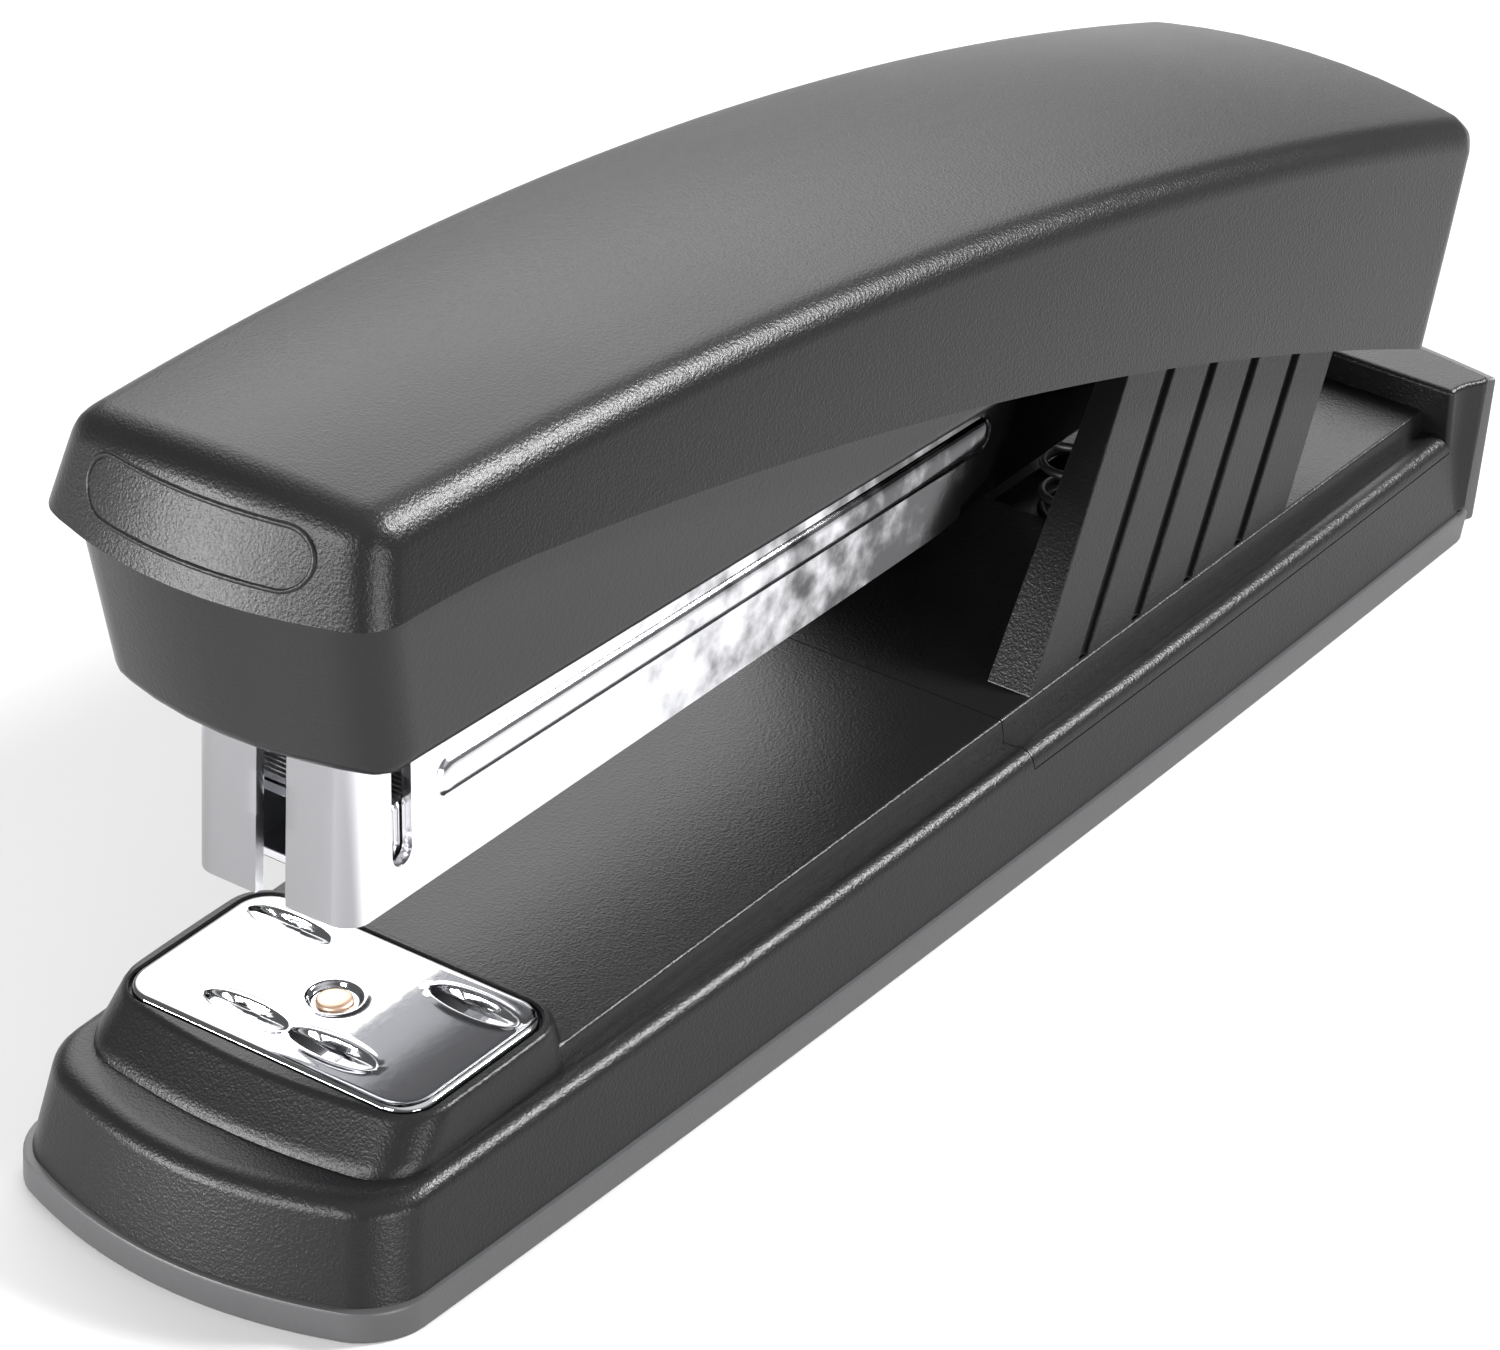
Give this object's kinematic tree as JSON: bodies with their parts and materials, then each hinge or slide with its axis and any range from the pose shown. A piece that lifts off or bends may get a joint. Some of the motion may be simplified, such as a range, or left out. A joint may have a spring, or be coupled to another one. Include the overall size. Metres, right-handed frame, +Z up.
{
  "type": "desktop stapler",
  "caption": "Half-strip desktop stapler: grained black cover over a bright steel magazine, black base with a turning steel anvil, and a grey foot.",
  "frame": {"origin": "centre of the foot's bounding box, on the desk", "axes": "+Z up, nose towards -Y, rear towards +Y, hinge pin along X"},
  "size_m": [0.0392, 0.1564, 0.065],
  "materials": {
    "black_plastic": "fine leather grain, satin",
    "smooth_black": "smooth satin",
    "dark_plastic": "smooth",
    "grey_plastic": "smooth matt",
    "nickel": "bright nickel plate",
    "zinc_steel": "zinc plated sheet",
    "bright_steel": "plain bright steel",
    "spring_steel": "drawn wire",
    "black_wire": "black phosphated wire",
    "staple_wire": "galvanised wire",
    "copper": "copper washed steel"
  },
  "bodies": {
    "base": {"foot_pan": "grey_plastic", "base_shell": "black_plastic", "rear_bracket": "black_plastic", "base_frame": "zinc_steel", "base_screws": "bright_steel", "hinge_pin": "bright_steel", "pin_clips": "zinc_steel", "return_spring": "black_wire", "anvil_spring": "spring_steel"},
    "lifter": {"anvil_button": "dark_plastic"},
    "anvil": {"anvil_plate": "nickel", "anvil_rivet": "copper"},
    "magazine": {"magazine_channel": "nickel", "staple_rail": "zinc_steel", "staple_strip": "staple_wire", "pusher_rod": "bright_steel", "pusher_spring": "spring_steel", "handle_spring": "spring_steel"},
    "pusher_body": {"pusher": "dark_plastic"},
    "handle": {"handle_frame": "zinc_steel", "driver_blade": "bright_steel", "driver_rivets": "bright_steel", "nose_housing": "smooth_black", "top_cover": "black_plastic", "cover_screw": "bright_steel"}
  },
  "joints": [
    {"name": "magazine_pivot", "type": "hinge", "parent": "base", "child": "magazine", "pos_m": [0, 0.056, 0.033], "axis": [1, 0, 0], "range_deg": [0, 5], "stiffness_Nm_per_rad": 0.5, "springref_deg": -22.92, "deforming": ["return_spring"]},
    {"name": "handle_pivot", "type": "hinge", "parent": "magazine", "child": "handle", "pos_m": [0, 0.056, 0.033], "axis": [1, 0, 0], "range_deg": [-55, 5.6], "stiffness_Nm_per_rad": 0.35, "springref_deg": -8.02, "deforming": ["handle_spring"]},
    {"name": "pusher_slide", "type": "slide", "parent": "magazine", "child": "pusher_body", "axis": [0, 1, 0], "range_m": [0, 0.038], "stiffness_N_per_m": 40, "springref_m": -0.05, "deforming": ["pusher_spring"]},
    {"name": "anvil_lift", "type": "slide", "parent": "base", "child": "lifter", "axis": [0, 0, 1], "range_m": [0, 0.001], "stiffness_N_per_m": 500, "springref_m": -0.004, "deforming": ["anvil_spring"]},
    {"name": "anvil_turn", "type": "hinge", "parent": "lifter", "child": "anvil", "pos_m": [0, -0.0577, 0.0142], "axis": [0, 0, 1], "range_deg": [0, 180]}
  ]
}
